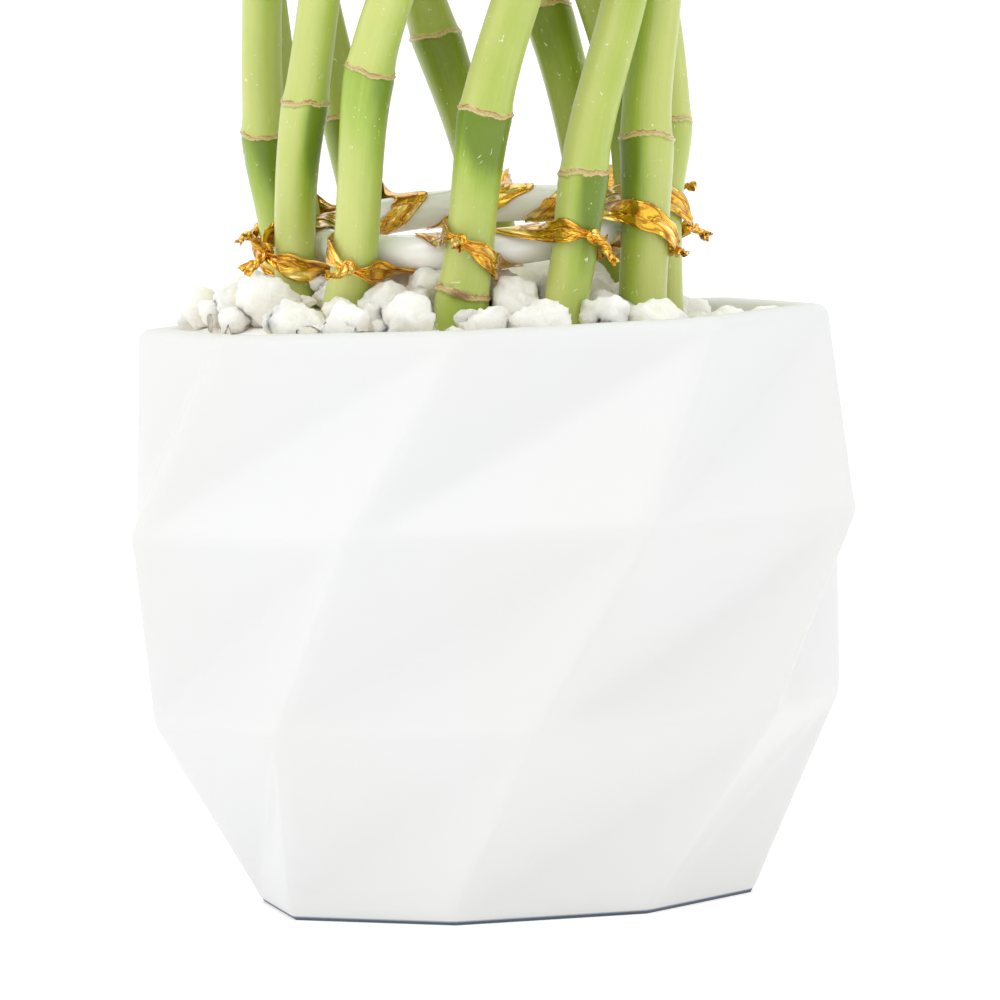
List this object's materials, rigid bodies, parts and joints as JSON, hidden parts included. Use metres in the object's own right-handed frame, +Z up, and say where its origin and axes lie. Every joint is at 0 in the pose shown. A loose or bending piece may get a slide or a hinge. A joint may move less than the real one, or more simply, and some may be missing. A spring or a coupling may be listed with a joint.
{
  "type": "potted lucky bamboo",
  "caption": "Twisted cage of lucky bamboo canes with leafy tops, tied to white hoops with gold foil, standing in quartz gravel in a faceted white pot.",
  "frame": {"origin": "centre of the pot's flat base", "axes": "+Z up through the pot and the cage of canes, -Y towards the front that the picture shows, +X to the right"},
  "size_m": [0.2551, 0.2556, 0.4337],
  "materials": {
    "pot": "gloss glaze",
    "gravel": "broken quartz",
    "hoop": "gloss",
    "cane": "waxy green bark",
    "foil": "crumpled metallic foil",
    "leaf": "satin green leaf"
  },
  "bodies": {
    "root": {"pot": "pot", "gravel": "gravel", "hoop_lower": "hoop", "hoop_upper": "hoop", "cane_01": "cane", "tie_lower_01": "foil", "tie_upper_01": "foil", "shoot_01": "leaf", "cane_02": "cane", "tie_lower_02": "foil", "tie_upper_02": "foil", "shoot_02": "leaf", "cane_03": "cane", "tie_lower_03": "foil", "tie_upper_03": "foil", "shoot_03": "leaf", "cane_04": "cane", "tie_lower_04": "foil", "tie_upper_04": "foil", "shoot_04": "leaf", "cane_05": "cane", "tie_lower_05": "foil", "tie_upper_05": "foil", "shoot_05": "leaf", "cane_06": "cane", "tie_lower_06": "foil", "tie_upper_06": "foil", "shoot_06": "leaf", "cane_07": "cane", "tie_lower_07": "foil", "tie_upper_07": "foil", "shoot_07": "leaf", "cane_08": "cane", "tie_lower_08": "foil", "tie_upper_08": "foil", "shoot_08": "leaf", "cane_09": "cane", "tie_lower_09": "foil", "tie_upper_09": "foil", "shoot_09": "leaf", "cane_10": "cane", "tie_lower_10": "foil", "tie_upper_10": "foil", "shoot_10": "leaf", "cane_11": "cane", "tie_lower_11": "foil", "tie_upper_11": "foil", "shoot_11": "leaf", "cane_12": "cane", "tie_lower_12": "foil", "tie_upper_12": "foil", "shoot_12": "leaf"}
  },
  "joints": []
}
